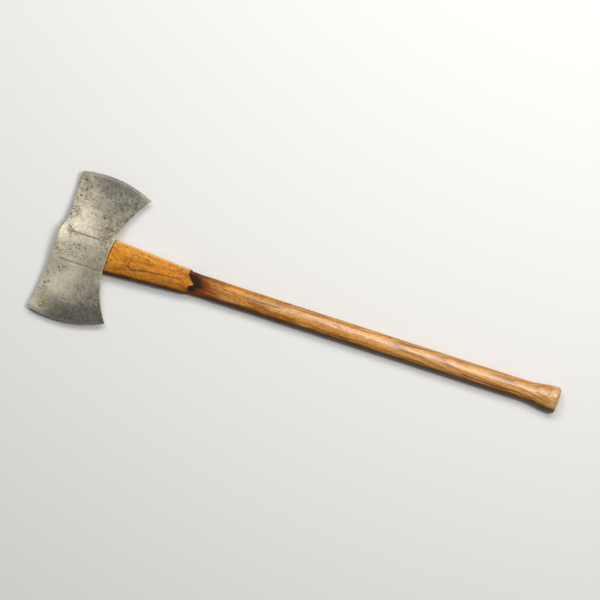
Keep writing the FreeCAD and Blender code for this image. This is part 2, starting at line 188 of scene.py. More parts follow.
def closed_copy(node):
    """Copy of a CAD node with the corners of neighbouring faces joined, so that it can cut."""
    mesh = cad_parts[node].data.copy()
    body = bmesh.new()
    body.from_mesh(mesh)
    bmesh.ops.remove_doubles(body, verts=body.verts, dist=0.001 * MM)
    body.to_mesh(mesh)
    body.free()
    return link_object(node + "_cutter", mesh)


def discard(piece):
    bpy.data.objects.remove(piece)


# ---------------------------------------------------------------- head

HEAD_SPAN = 265 * MM
HEAD_REACH = 118 * MM
CHEEK_STEP = 0.85 * MM
EYE_HALF_WIDTH = 31 * MM
EYE_HALF_THICKNESS = 10.4 * MM
EYE_WALL = 1.6 * MM
TOP_ARRIS = 1.9 * MM
UNDER_ARRIS = 1.3 * MM
LEAST_HALF = 0.12 * MM
RIM_LAYERS = 7


def spread(length, step, fine, fine_length):
    """Places from 0 to 1 along a length, closer together within fine_length of both ends."""
    ends = np.arange(0, fine_length, fine)
    middle = np.linspace(fine_length, length - fine_length, int((length - 2 * fine_length) / step) + 2)
    return np.concatenate([ends, middle[1:-1], length - ends[::-1]]) / length


def beside_eye(y):
    """Height above the middle plane that clears the eye's hole."""
    share = min(abs(y - AXIS_Y) / EYE_HALF_WIDTH, 1)
    return EYE_HALF_THICKNESS * math.sqrt(1 - share ** 2) + EYE_WALL if share < 1 else 0.0


def trace(start, end, axis, direction, shares):
    """One side of the outline from corner to corner, found by rays along an axis."""
    line = start + (end - start) * shares[:, None]
    aim = np.zeros(3)
    aim[axis] = direction
    for place in line[1:-1]:
        source = np.append(place, MID_Z + beside_eye(place[1]))
        source[axis] = -direction * FAR
        hit = strike(HEAD_TREE, source, aim)
        place[axis] = hit[axis] if hit else np.nan
    good = ~np.isnan(line[:, axis])
    line[:, axis] = np.interp(np.arange(len(line)), np.nonzero(good)[0], line[good, axis])
    return line


def outline_of_head():
    """Shares from 0 to 1 along the head's sides, and the four sides themselves, read from the CAD."""
    flat = HEAD_POINTS[:, :2]

    def corner(x_pull, y_pull):
        return flat[np.argmax(flat @ (x_pull, y_pull))]

    low_toe, low_heel = corner(-1, -1), corner(1, -1)
    high_toe, high_heel = corner(-1, 1), corner(1, 1)

    rows = spread(HEAD_SPAN, CHEEK_STEP, 0.35 * MM, 4 * MM)
    columns = spread(HEAD_REACH, CHEEK_STEP, 0.4 * MM, 3.2 * MM)
    top_side = trace(low_toe, high_toe, 0, 1, rows)
    underside = trace(low_heel, high_heel, 0, -1, rows)
    low_edge = trace(low_toe, low_heel, 1, 1, columns)
    high_edge = trace(high_toe, high_heel, 1, -1, columns)
    return rows, columns, (top_side, underside, low_edge, high_edge)


def blur(field, spans):
    """Even out a grid of values, by a bell-shaped window so many cells wide along each axis."""
    for axis, span in enumerate(spans):
        reach = int(3 * span) + 1
        window = np.exp(-0.5 * (np.arange(-reach, reach + 1) / span) ** 2)
        window /= window.sum()
        padding = [(reach, reach) if k == axis else (0, 0) for k in (0, 1)]
        padded = np.pad(field, padding, mode="edge")
        field = np.apply_along_axis(lambda line: np.convolve(line, window, mode="valid"), axis, padded)
    return field


# where the cheeks are pitted: distance behind the eye face, distance from the axis, half widths, strength
PITTED = [(12, 44, 15, 36, 1.0), (8, -18, 12, 30, 0.8), (4, -70, 9, 30, 0.8), (34, -2, 30, 22, 0.75),
          (82, 22, 18, 26, 0.95), (82, -50, 12, 26, 0.75), (22, -46, 24, 12, 0.85), (22, 96, 16, 30, 0.65),
          (22, 122, 22, 9, 0.7), (10, -112, 16, 13, 1.0), (76, 62, 20, 22, 0.4)]


def places_of(points):
    """Millimetres behind the eye face, above the handle's axis and in front of it."""
    return (points - (EYE_FACE_X, AXIS_Y, MID_Z)).T / MM


def pitting(points):
    """How heavily the head is pitted, from 0 to 1, in drifts."""
    back, across = places_of(points)[:2]
    drift = smooth(fractal(points, (13 * MM,) * 3, 91), -0.9, 0.5)
    return np.clip(patches(back, across, PITTED), 0, 1) * drift


def grooves(points, seed):
    """Depth from 0 to 1 of the lines beside the eye band, and of the lower one's lip."""
    back, across = places_of(points)[:2]
    wobble = 0.35 * noise(np.stack([back], 1), (14,), seed)
    upper = np.exp(-((across - 24.7 + wobble) / 1.6) ** 2) * smooth(back, 10, 22) * smooth(back, 80, 62)
    lower = np.exp(-((across + 27.0 + wobble) / 2.6) ** 2) * smooth(back, 6, 18) * smooth(back, 97, 86)
    crest = np.exp(-((across + 23.0 + wobble) / 1.4) ** 2) * smooth(back, 8, 18) * smooth(back, 60, 40)
    return upper, lower, crest


def pit_depth(points):
    """Large and small pits, from 0 to 1."""
    rough = pitting(points)
    large = pits(points, 5.0 * MM, 0.85 * rough, 11)
    small = pits(points, 2.6 * MM, 1.6 * rough + 0.05, 23)
    return large, small, rough


def cheek_relief(points):
    """What is taken off a cheek: grooves, pits and the marks of the hammer."""
    large, small, rough = pit_depth(points)
    upper, lower, crest = grooves(points, 5)
    relief = (0.36 * upper + 0.70 * lower - 0.20 * crest) * MM
    relief += (0.46 * large + 0.36 * small) * MM
    relief += 0.09 * MM * rough * (1 + fractal(points, (2.2 * MM,) * 3, 41, 2))
    relief += 0.11 * MM * (1 + fractal(points, (24 * MM,) * 3, 53, 2))
    return relief


def wear_outline(rows, columns, outline):
    """Take a little off the outline, unevenly, and join its sides at the corners again."""
    top_side, underside, low_edge, high_edge = outline
    along = np.stack([rows * HEAD_SPAN], 1)
    worn = 0.35 * MM * (1 + fractal(along, (9 * MM,), 3, 3)) * np.sin(np.pi * rows) ** 0.2
    top_side[:, 0] += worn * 0.8
    underside[:, 0] -= worn[::-1] * 0.5
    line = np.stack([columns * HEAD_REACH], 1)
    for edge_line, direction, seed in ((low_edge, 1, 61), (high_edge, -1, 71)):
        chips = 0.7 * MM * smooth(noise(line, (5 * MM,), seed), 0.62, 1.0)
        chips += 0.10 * MM * (1 + fractal(line, (7 * MM,), seed + 4, 3))
        edge_line[1:-1, 1] += direction * chips[1:-1]
    low_edge[0], low_edge[-1] = top_side[0], underside[0]
    high_edge[0], high_edge[-1] = top_side[-1], underside[-1]


def fill_outline(rows, columns, outline):
    """Grid of places inside the outline, spaced as its sides are."""
    top_side, underside, low_edge, high_edge = outline
    share_y = rows[:, None, None]
    share_x = columns[None, :, None]
    corners = ((1 - share_y) * ((1 - share_x) * low_edge[0] + share_x * low_edge[-1])
               + share_y * ((1 - share_x) * high_edge[0] + share_x * high_edge[-1]))
    return ((1 - share_y) * low_edge[None] + share_y * high_edge[None]
            + (1 - share_x) * top_side[:, None] + share_x * underside[:, None] - corners)


def half_thickness(grid):
    """Height of the CAD's cheek above the middle plane, at each place of the grid."""
    count_y, count_x = grid.shape[:2]
    half = np.full((count_y, count_x), np.nan)
    centre = grid.mean((0, 1))
    for row in range(count_y):
        for column in range(count_x):
            x, y = grid[row, column] + (centre - grid[row, column]) * 0.0004
            hit = strike(HEAD_TREE, (x, y, FAR), (0, 0, -1))
            if hit:
                half[row, column] = hit.z - MID_Z
    for row in range(count_y):
        good = ~np.isnan(half[row])
        if good.any():
            half[row] = np.interp(np.arange(count_x), np.nonzero(good)[0], half[row, good])
    return half


def even_out(half, to_edge):
    """Blur the CAD's facets away, and less so near the cutting edges."""
    soft = blur(blur(half, (9, 7)), (2.6, 2.0))
    brisk = blur(half, (2.2, 1.8))
    half = half + (brisk - half) * smooth(to_edge, 2 * MM, 7 * MM)
    return half + (soft - half) * smooth(to_edge, 9 * MM, 22 * MM)


def make_cheek(grid, half, sign, to_edge, to_sides):
    """One cheek, with its relief taken off and its long arrises rounded."""
    places = np.dstack([grid, MID_Z + sign * half]).reshape(-1, 3)
    relief = cheek_relief(places).reshape(half.shape)
    relief *= smooth(to_edge, 2 * MM, 14 * MM) * 0.9 + 0.1
    height = half - np.minimum(relief, half * 0.3)
    for distance, radius in zip(to_sides, (TOP_ARRIS, UNDER_ARRIS)):
        turn = np.minimum(radius, half * 0.55)
        inside = np.clip(1 - distance / turn, 0, 1)
        height = height - turn * (1 - np.sqrt(1 - inside ** 2))
    return np.dstack([grid, MID_Z + sign * np.maximum(height, LEAST_HALF)])


def sew_cheeks(front, back):
    """Closed skin: both cheeks, and a dented rim in layers between them."""
    count_y, count_x = front.shape[:2]
    middle = front[:, :, :2].mean((0, 1))
    index = np.arange(count_y * count_x).reshape(count_y, count_x)
    shift = count_y * count_x
    points = [front.reshape(-1, 3), back.reshape(-1, 3)]
    a, b = index[:-1, :-1].ravel(), index[:-1, 1:].ravel()
    c, d = index[1:, 1:].ravel(), index[1:, :-1].ravel()
    faces = np.stack([a, b, c, d], 1).tolist() + (np.stack([a, d, c, b], 1) + shift).tolist()
    ring = np.concatenate([index[0, :-1], index[:-1, -1], index[-1, :0:-1], index[:0:-1, 0]])
    front_ring, back_ring = points[0][ring], points[1][ring]
    thick = np.abs(front_ring[:, 2] - back_ring[:, 2])
    previous, total = ring, 2 * shift
    for layer in range(1, RIM_LAYERS + 1):
        share = layer / (RIM_LAYERS + 1)
        loop = front_ring * (1 - share) + back_ring * share
        uneven = 1 + fractal(loop, (6 * MM, 6 * MM, 4 * MM), 211, 3)
        inward = middle[None] - loop[:, :2]
        inward /= np.linalg.norm(inward, axis=1)[:, None]
        dent = 0.10 * MM * uneven * smooth(thick, 1 * MM, 5 * MM) * math.sin(math.pi * share)
        loop[:, :2] += inward * dent[:, None]
        points.append(loop)
        current = np.arange(total, total + len(ring))
        total += len(ring)
        faces += np.stack([previous, current, np.roll(current, -1), np.roll(previous, -1)], 1).tolist()
        previous = current
    last = ring + shift
    faces += np.stack([previous, last, np.roll(last, -1), np.roll(previous, -1)], 1).tolist()
    return make_object("whole_head", np.concatenate(points), faces)


def make_whole_head():
    """Whole head as one closed skin, on a grid that follows its outline."""
    rows, columns, outline = outline_of_head()
    wear_outline(rows, columns, outline)
    grid = fill_outline(rows, columns, outline)
    top_side, underside, low_edge, high_edge = outline
    ys = grid[:, :, 1]
    to_edge = np.minimum(np.abs(ys - low_edge[None, :, 1]), np.abs(ys - high_edge[None, :, 1]))
    to_sides = [np.linalg.norm(grid - side[:, None], axis=2) for side in (top_side, underside)]
    half = even_out(half_thickness(grid), to_edge)
    return sew_cheeks(*(make_cheek(grid, half, sign, to_edge, to_sides) for sign in (1, -1)))


def tube(name, sections):
    """Closed tube through rings of points, each ring the same count."""
    count = len(sections[0])
    points = np.concatenate(sections + [sections[0].mean(0)[None], sections[-1].mean(0)[None]])
    ends = len(points) - 2
    faces = []
    around = np.arange(count)
    after = np.roll(around, -1)
    for ring in range(len(sections) - 1):
        start, end = ring * count, (ring + 1) * count
        faces += np.stack([start + around, start + after, end + after, end + around], 1).tolist()
    last = (len(sections) - 1) * count
    faces += np.stack([np.full(count, ends), after, around], 1).tolist()
    faces += np.stack([np.full(count, ends + 1), last + around, last + after], 1).tolist()
    return make_object(name, points, faces)


def eye_tool():
    """Solid that fills the eye, read from the eye's walls in the CAD, and longer than the eye."""
    stations = [from_eye(4), from_eye(86)]
    halves = []
    for x in stations:
        wide = strike(HEAD_TREE, (x, AXIS_Y, MID_Z), (0, 1, 0)).y - AXIS_Y
        thick = strike(HEAD_TREE, (x, AXIS_Y, MID_Z), (0, 0, 1)).z - MID_Z
        halves.append((wide, thick))
    turns = np.linspace(0, 2 * math.pi, 128, endpoint=False)
    sections = []
    for x in (from_eye(-6), from_eye(110)):
        share = (x - stations[0]) / (stations[1] - stations[0])
        wide, thick = (halves[0][k] + (halves[1][k] - halves[0][k]) * share for k in (0, 1))
        ring = np.stack([np.full(128, x), AXIS_Y + wide * np.cos(turns), MID_Z + thick * np.sin(turns)], 1)
        sections.append(ring)
    return tube("eye_tool", sections)


def bit_tool(name, direction, apex_y, weld_y, weld_half):
    """Space of one bit: a wedge-shaped tongue and all that is past the slightly uneven weld."""
    sections = []
    roof = 30 * MM
    past = weld_y + direction * 80 * MM
    for x in np.linspace(from_eye(-30), from_eye(160), 96):
        drift = 0.5 * MM * fractal(np.array([[x]]), (16 * MM,), 83, 2)[0]
        weld, apex = weld_y + drift, apex_y + 2 * drift
        ring = [(apex, 0), (weld, weld_half), (weld, roof), (past, roof), (past, -roof), (weld, -roof),
                (weld, -weld_half)]
        if direction > 0:
            ring.reverse()
        sections.append(np.array([(x, y, MID_Z + z) for y, z in ring]))
    return tube(name, sections)


def make_head():
    """Body and two bits, cut from one skin, so that their seams match."""
    whole = make_whole_head()
    pieces = {}
    body = link_object("head_body_skin", whole.data.copy())
    for node, direction in (("upper_bit", 1), ("lower_bit", -1)):
        low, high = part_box(node)
        apex_y = low.y if direction > 0 else high.y
        weld_y = body_high.y if direction > 0 else body_low.y
        hit = strike(HEAD_TREE, (from_eye(50), weld_y - direction * 0.5 * MM, FAR), (0, 0, -1))
        tool = bit_tool(node + "_tool", direction, apex_y, weld_y, hit.z - MID_Z - 0.15 * MM)
        bit = link_object(node + "_skin", whole.data.copy())
        combine(bit, tool, "INTERSECT")
        combine(body, tool, "DIFFERENCE")
        pieces[node] = bit
        discard(tool)
    tool = eye_tool()
    combine(body, tool, "DIFFERENCE")
    pieces["head_body"] = body
    discard(tool)
    discard(whole)
    return pieces


# ---------------------------------------------------------------- handle

SEGMENTS = 192
AROUND = np.linspace(0, 2 * math.pi, SEGMENTS, endpoint=False)
STEP_BACK = 241
END_DOME = 0.8 * MM
KNOB_LENGTH = 52 * MM
RIM_LENGTH = 5 * MM
CREASE_SPREAD = 5.0
# cracks and grain lines on the front: places behind the eye face and above the axis, and width
CRACKS = [([(97, -19), (118, -14), (138, -9.5), (154, -5), (176, -2), (200, 0.5), (224, 2)], 1.15),
          ([(99, 8), (103, 4.5), (107, 2)], 1.2), ([(94, -10), (98, -6), (102, -2.5)], 1.2),
          ([(129, -4), (134, -5.5), (137, -9), (143, -8)], 1.3),
          ([(158, 17), (164, 16)], 1.4), ([(262, -3), (292, -5)], 1.0),
          ([(742, -5), (790, -7), (846, -6)], 0.9), ([(300, 8), (352, 6), (402, 6.5)], 0.9)]
# dark specks and flecks on the front: places, half length and half width
FLECKS = [(132, -5.5, 3.0, 1.6), (139, -9, 4.0, 1.7), (401, 15.5, 1.2, 3.0), (503, 9, 7, 1.0),
          (511, 6.5, 5, 0.8), (600, 17, 4, 2.0), (666, -3, 3, 0.9), (817, -8, 2.4, 1.4), (848, -9, 2.6, 1.5),
          (874, 4, 2, 1.2), (893, 9, 1.6, 1.4), (899, -6, 1.8, 1.3), (164, 14, 2.6, 1.2), (203, 12, 3.5, 1.0),
          (352, -9, 4, 1.0)]


def haft_rings(stations):
    """Points of the handle's surface at each station, read from the CAD along rays towards its axis."""
    rings = np.zeros((len(stations), SEGMENTS, 3))
    aims = np.stack([np.zeros(SEGMENTS), 1.5 * np.cos(AROUND), np.sin(AROUND)], 1)
    aims /= np.linalg.norm(aims, axis=1)[:, None]
    for row, x in enumerate(stations):
        axis = np.array([x, AXIS_Y, MID_Z])
        for column, aim in enumerate(aims):
            hit = strike(HAFT_TREE, axis + aim * 0.09, -aim)
            rings[row, column] = hit if hit else axis
    return rings


def step_line(points):
    """Where the shoulder ends, in millimetres behind the eye face: torn and scalloped all the way round."""
    across, front = places_of(points)[1:]
    turn = np.arctan2(front, across)
    around = np.stack([np.cos(turn), np.sin(turn)], 1)
    ragged = 2.4 * fractal(around, (0.9, 0.9), 301, 3) + 1.2 * noise(around, (0.16, 0.16), 307)
    ear = 7.5 * np.exp(-((across - 1.0) / 7.0) ** 2) * smooth(front, 0, 4)
    return STEP_BACK - 1.0 + ragged + ear - 3.0 * smooth(across, 8, 15) * smooth(front, 0, 4)


def crack_depth(points):
    """Depth from 0 to 1 of the cracks in the front of the handle."""
    back, across, front = places_of(points)
    flat = np.stack([back, across], 1)
    depth = np.zeros(len(points))
    for corners, width in CRACKS:
        line = np.array(corners, float)
        for start, end in zip(line[:-1], line[1:]):
            run = end - start
            share = np.clip(((flat - start) @ run) / (run @ run), 0, 1)
            away = flat - start - share[:, None] * run
            wander = 0.5 * noise(np.stack([back], 1), (7,), 331)
            distance = np.abs(np.hypot(away[:, 0], away[:, 1]) + wander * (share > 0) * (share < 1) * 0.6)
            depth = np.maximum(depth, np.exp(-(distance / width) ** 2))
    return depth * smooth(front, 0, 4)


def fleck_depth(points):
    """Depth from 0 to 1 of the dark specks and small nicks in the front of the handle."""
    back, across, front = places_of(points)
    depth = np.zeros(len(points))
    for mid_x, mid_y, long, wide in FLECKS:
        depth = np.maximum(depth, np.exp(-((back - mid_x) / long) ** 2 - ((across - mid_y) / wide) ** 2))
    return depth * smooth(front, 0, 4)


def wood_relief(points):
    """What is taken off the handle: tool marks, raised grain, dents, cracks and nicks."""
    back = places_of(points)[0]
    relief = 0.16 * MM * (1 + fractal(points, (46 * MM, 11 * MM, 11 * MM), 341, 2))
    relief += 0.05 * MM * (1 + fractal(points, (9 * MM, 1.6 * MM, 1.6 * MM), 351, 3))
    relief += 0.55 * MM * crack_depth(points) + 0.45 * MM * fleck_depth(points)
    relief += 0.30 * MM * pits(points * (0.45, 1, 1), 6.5 * MM, 0.10, 361)
    whittled = smooth(back, 236, 250) * smooth(back, 300, 262)
    relief += 0.45 * MM * whittled * (1 + noise(points, (12 * MM, 5 * MM, 5 * MM), 371))
    start = smooth(back, 104, 95) * smooth(fractal(points, (10 * MM, 7 * MM, 7 * MM), 381, 2), -0.9, 0.2)
    return relief + 1.3 * MM * start * smooth(back, 92, 94)


def ease_creases(rings):
    """Round the creases that run along the handle, by evening out each ring over its neighbours."""
    reach = int(2.5 * CREASE_SPREAD)
    shifts = np.arange(-reach, reach + 1)
    window = np.exp(-0.5 * (shifts / CREASE_SPREAD) ** 2)
    window /= window.sum()
    eased = sum(weight * np.roll(rings, shift, axis=1) for weight, shift in zip(window, shifts))
    share = smooth(rings[:, :1, 0], from_eye(99), from_eye(112))[:, :, None]
    return rings + (eased - rings) * share


def tear_shoulder(rings, stations):
    """Carry the shoulder's end back and forth across the CAD's plane step, along a torn line."""
    backs = (stations - EYE_FACE_X) / MM
    before, behind = STEP_BACK - 1.0, STEP_BACK + 1.5
    last_thick, first_thin = np.searchsorted(backs, before) - 1, np.searchsorted(backs, behind)
    shoulder, neck = rings[last_thick].copy(), rings[first_thin].copy()
    for row, back in enumerate(backs):
        if not before - 12 < back < behind + 14:
            continue
        thick = rings[row].copy() if row <= last_thick else shoulder
        thin = rings[row].copy() if row >= first_thin else neck
        edge = step_line(thick)
        across, front = places_of(thick)[1:]
        slack = 0.55 + 7.0 * smooth(across, -8, -13) * smooth(front, 0, 4)
        share = smooth(edge - back, -slack, slack)[:, None]
        rings[row, :, 1:] = thin[:, 1:] + (thick[:, 1:] - thin[:, 1:]) * share
        rings[row, :, 0] = stations[row]
    return rings


def haft_stations():
    """Places along X for the handle's rings, and how many of them belong to the knob's rim."""
    tongue = np.linspace(haft_low.x + 0.45 * MM, from_eye(88), 8)
    seat = np.arange(from_eye(90), from_eye(99), 0.55 * MM)
    shoulder = np.arange(from_eye(99), from_eye(232), 1.0 * MM)
    step = np.arange(from_eye(232), from_eye(252), 0.42 * MM)
    neck = np.arange(from_eye(252), from_eye(300), 1.2 * MM)
    grip = np.arange(from_eye(300), KNOB_X - KNOB_LENGTH, 2.9 * MM)
    knob = np.arange(KNOB_X - KNOB_LENGTH, KNOB_X - RIM_LENGTH, 1.3 * MM)
    rim = KNOB_X - RIM_LENGTH * (1 - np.sin(np.linspace(0.05, math.pi / 2, 12))) - 0.01 * MM
    return np.concatenate([tongue, seat, shoulder, step, neck, grip, knob, rim]), len(rim)


def end_rings(outer, dome):
    """Rings that close an end, each smaller than the one before, over a dome of some height."""
    centre = outer.mean(0)
    inner = []
    for share in (0.94, 0.84, 0.70, 0.52, 0.33, 0.15):
        ring = centre + (outer - centre) * share
        ring[:, 0] = outer[:, 0] + dome * (1 - share ** 2)
        inner.append(ring)
    return inner


def make_haft():
    """Handle skin: tongue, shoulder, neck, grip and knob as rings along X, with closed ends."""
    stations, rim_count = haft_stations()
    rings = tear_shoulder(ease_creases(haft_rings(stations)), stations)
    flat = rings.reshape(-1, 3)
    relief = wood_relief(flat) * smooth(places_of(flat)[0], 91, 93)
    middle = np.stack([flat[:, 0], np.full(len(flat), AXIS_Y), np.full(len(flat), MID_Z)], 1)
    inward = middle - flat
    inward /= np.maximum(np.linalg.norm(inward, axis=1), 1e-6)[:, None]
    rings = (flat + inward * relief[:, None]).reshape(rings.shape)
    rings[-rim_count:, :, 0] -= END_DOME
    first, last = end_rings(rings[0], 0.0)[::-1], end_rings(rings[-1], END_DOME)
    return tube("handle_skin", first + list(rings) + last)


# ---------------------------------------------------------------- marks: what each point of a skin is like

def set_marks(piece, **marks):
    """Keep numbers from 0 to 1 for each vertex of a mesh, for its material."""
    for name, values in marks.items():
        layer = piece.data.attributes.new(name, "FLOAT", "POINT")
        layer.data.foreach_set("value", np.clip(values, 0, 1).astype(np.float32))


def vertices_of(piece):
    """Places and normals of a mesh's vertices."""
    count = len(piece.data.vertices)
    points, normals = np.zeros(count * 3), np.zeros(count * 3)
    piece.data.vertices.foreach_get("co", points)
    piece.data.vertex_normals.foreach_get("vector", normals)
    return points.reshape(-1, 3), normals.reshape(-1, 3)


# tone of the steel at places on a cheek, partly its own mottled tone and partly painted reflection and shade,
# brightest on the flats beside the eye: behind the eye face, above the axis, and tone from 0 to 1
TONE_AND_REFLECTION_CARD = [(60, 122, 0.10), (100, 118, 0.09), (32, 124, 0.26), (12, 114, 0.36), (60, 92, 0.27),
         (95, 95, 0.15), (14, 78, 0.48), (26, 68, 0.78), (44, 78, 0.46), (78, 70, 0.24),
         (120, 122, 0.22), (30, 50, 0.66), (12, 50, 0.52), (60, 48, 0.44), (88, 54, 0.22),
         (92, 34, 0.28), (35, 14, 0.58), (58, 22, 0.44), (10, 4, 0.84), (18, -18, 0.92),
         (34, -10, 0.76), (60, 0, 0.54), (84, 4, 0.38), (10, -34, 0.60), (28, -42, 0.90),
         (44, -48, 0.82), (16, -60, 0.86), (74, -46, 0.54), (12, -76, 0.86), (36, -80, 0.62),
         (60, -70, 0.46), (88, -76, 0.20), (46, -102, 0.24), (10, -96, 0.58), (4, -114, 0.96),
         (18, -112, 0.22), (20, -124, 0.10), (52, -118, 0.08), (86, -104, 0.14), (94, -122, 0.06),
         (-6, -128, 0.80)]
TONE_REACH = 15
# warm rust on a cheek: places, half widths and strength
WARM = [(16, 104, 13, 24, 0.7), (12, -112, 15, 12, 1.4), (24, 50, 24, 36, 0.5), (8, -20, 10, 60, 0.5),
        (76, 40, 26, 26, 0.9), (40, 0, 40, 26, 0.6), (40, -50, 30, 18, 0.4)]


def tone_at(x, y):
    """Tone, with its painted reflection and shade, between the places of the card, each place counting for
    less the further away it is.
    """
    total, weights = np.zeros(len(x)), np.full(len(x), 1e-9)
    for mid_x, mid_y, tone in TONE_AND_REFLECTION_CARD:
        weight = np.exp(-((x - mid_x) ** 2 + (y - mid_y) ** 2) / TONE_REACH ** 2)
        total += weight * tone
        weights += weight
    return total / weights


def ground_zone(points):
    """1 where a blade has been ground smooth near its edge, 0 elsewhere."""
    back, across = places_of(points)[:2]
    line = 1.5 * noise(np.stack([back], 1), (18,), 441)
    low = smooth(across + line, -95, -101) * smooth(back, 12, 22)
    high = smooth(UPPER_EDGE(back) - across + line, 26, 12) * smooth(back, 26, 44)
    return np.maximum(low, 0.8 * high)


def mark_steel(piece):
    """Pits, rust, grooves, tone with painted reflection and shade, worn arrises with a painted highlight on
    those facing +X, and honed edges of a steel skin.
    """
    points, normals = vertices_of(piece)
    back, across = places_of(points)[:2]
    large, small, rough = pit_depth(points)
    upper, lower, crest = grooves(points, 5)
    facing = smooth(np.abs(normals[:, 2]), 0.5, 0.9)
    drift = fractal(points, (17 * MM, 26 * MM, 17 * MM), 411, 3)
    edge_back = np.minimum(np.abs(UPPER_EDGE(back) - across), np.abs(across - LOWER_EDGE(back)))
    honed = smooth(edge_back, 5.5, 4.0) * facing
    arris = smooth(np.abs(normals[:, 2]), 0.975, 0.85) * smooth(np.abs(normals[:, 2]), 0.05, 0.30)
    pit = np.maximum(large * 0.9, small) * (0.55 + 0.45 * rough) + 0.12 * (1 - facing)
    calm = ground_zone(points)
    # the tone card paints reflection and shade into the colour, and the crest's share is a slight painted
    # highlight on the lower groove's lip
    tone = (0.88 - 0.10 * calm) * tone_at(back, across) + 0.05 * drift * (1 - calm) + 0.06 * crest
    warm = patches(back, across, WARM) * smooth(drift, -1.2, 0.6)
    rubbed = smooth(fractal(points, (9 * MM,) * 3, 421, 2), -1.0, 0.5)
    # worn: a painted highlight on arrises facing +X, and wear in patches where rubbed
    worn = arris * (smooth(normals[:, 0], 0.0, 0.35) + 0.5 * rubbed)
    set_marks(piece, pit=pit, rough=rough, groove=(upper + lower) * facing, calm=calm, tone=tone,
              warm=warm, honed=honed, worn=worn)


def edge_curve(node, pull):
    """Distance of a bit's edge from the axis, as a function of that behind the eye face."""
    points = np.array([tuple(vertex.co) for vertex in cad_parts[node].data.vertices])
    back, across = places_of(points)[:2]
    crown = across * pull > (across * pull).max() - 22
    thin = np.abs(points[:, 2] - MID_Z) < 0.9 * MM
    chosen = crown & thin
    fit = np.polyfit(back[chosen], across[chosen], 2)
    return lambda place: np.polyval(fit, place)


UPPER_EDGE = edge_curve("upper_bit", 1)
LOWER_EDGE = edge_curve("lower_bit", -1)


def distances_to_head(points, chosen):
    """Distance in millimetres from the head, for the chosen points; the others are put far away."""
    away = np.full(len(points), 100.0)
    for index in np.flatnonzero(chosen):
        away[index] = HEAD_TREE.find_nearest(Vector(points[index]))[3] / MM
    return away


def mark_wood(piece):
    """Shoulder, scorch, cracks, grime with painted shade below, painted shade by the head, wear with a
    painted highlight, and end grain of the handle.
    """
    points, normals = vertices_of(piece)
    back, across, front = places_of(points)
    behind_step = back - step_line(points)
    shoulder = smooth(behind_step, 0.6, -0.4)
    drift = fractal(points, (24 * MM, 7 * MM, 7 * MM), 431, 3)
    burnt = np.maximum(behind_step - 4 - 0.3 * across + 2 * drift, 0)
    core = np.exp(-(burnt / 15.0) ** 2) * smooth(np.abs(across - 2), 21, 9)
    core *= smooth(front, -4, 5) + 0.35 * smooth(front, 5, -4)
    halo = np.exp(-(np.maximum(behind_step - 6, 0) / 42.0) ** 2) * smooth(behind_step, -1, 1)
    scorch = np.clip(core * (1 + 0.35 * drift), 0, 1) * smooth(behind_step, -1.2, 2.5)
    before_step = smooth(behind_step, -30, -4) * shoulder * smooth(drift, -1.0, 0.6)
    smoked = halo * (1.25 + 0.30 * drift) + 0.40 * before_step
    edge = 1 - np.abs(normals[:, 2])
    # painted highlight: the shoulder's upper arris, facing the key light, is made pale; the grip and knob
    # shares below are wear
    worn = smooth(edge, 0.35, 0.75) * smooth(normals[:, 1], -0.2, 0.4) * shoulder
    worn += 0.7 * np.exp(-((back - 300) / 400) ** 2) * smooth(drift, 0.2, 1.4) * (1 - shoulder)
    # painted shade: darker where the wood comes within a few millimetres of the head
    seam = smooth(distances_to_head(points, (back > 84) & (back < 116)), 2.6, 0.9)
    # painted shade: darker on the handle's underside, facing away from the key light, and on the lower part
    # of the shoulder's front
    grime = smooth(normals[:, 1] + 0.08 * drift, -0.14, -0.58)
    grime = np.maximum(grime, 0.42 * shoulder * smooth(across + 2 * drift, -2, -14) * smooth(front, 0, 4))
    rubbed = smooth(back, 300, 470) * (1 - shoulder)
    worn += 0.5 * smooth(back + 2 * drift, 891, 905) * smooth(drift, -1.2, 0.4)
    end = smooth(np.abs(normals[:, 0]), 0.6, 0.9) * (smooth(back, 900, 912) + smooth(back, 5, 3))
    crack = np.maximum(crack_depth(points), 0.9 * fleck_depth(points))
    # dirt in patches, and darker towards the knob
    grime += 0.3 * smooth(drift, 0.3, 1.5) + 0.16 * smooth(back, 850, 880)
    set_marks(piece, shoulder=shoulder, scorch=scorch, smoked=smoked, seam=seam, crack=crack, worn=worn,
              grime=grime, rubbed=rubbed, pale=smooth(back, 420, 720), end=end)


# ---------------------------------------------------------------- materials

def tint(red, green, blue):
    """Linear colour of a colour given as it looks on a screen, from 0 to 255."""
    def linear(level):
        level /= 255
        return level / 12.92 if level <= 0.04045 else ((level + 0.055) / 1.055) ** 2.4
    return (linear(red), linear(green), linear(blue), 1.0)


# colours as they look on a screen: steel
# STEEL_DARK and STEEL_BRIGHT are mixed by the tone card, which paints reflection and shade as well as the
# steel's own tone
STEEL_DARK, STEEL_BRIGHT = (58, 56, 52), (220, 214, 190)
# the bare steel colour is also a painted highlight on arrises facing +X
STEEL_BARE_AND_HIGHLIGHT, STEEL_HONED = (232, 229, 218), (132, 130, 120)
# the groove colour darkens the lines beside the eye band
TAN_RUST, SPOT_RUST, PIT_RUST, GROOVE_DARK = (190, 164, 114), (80, 68, 50), (64, 52, 38), (80, 74, 58)
# wood, each grain colour as early and late wood
GRIP_WOOD = (204, 142, 44), (104, 56, 8)
PALE_WOOD = (212, 156, 74), (122, 74, 22)
SHOULDER_WOOD = (213, 139, 8), (138, 78, 6)
# the bare wood colour is also a painted highlight on the shoulder's upper arris
PORE, STAIN, DAPPLE, BARE_WOOD_AND_HIGHLIGHT = (92, 52, 22), (112, 62, 14), (104, 58, 14), (228, 196, 146)
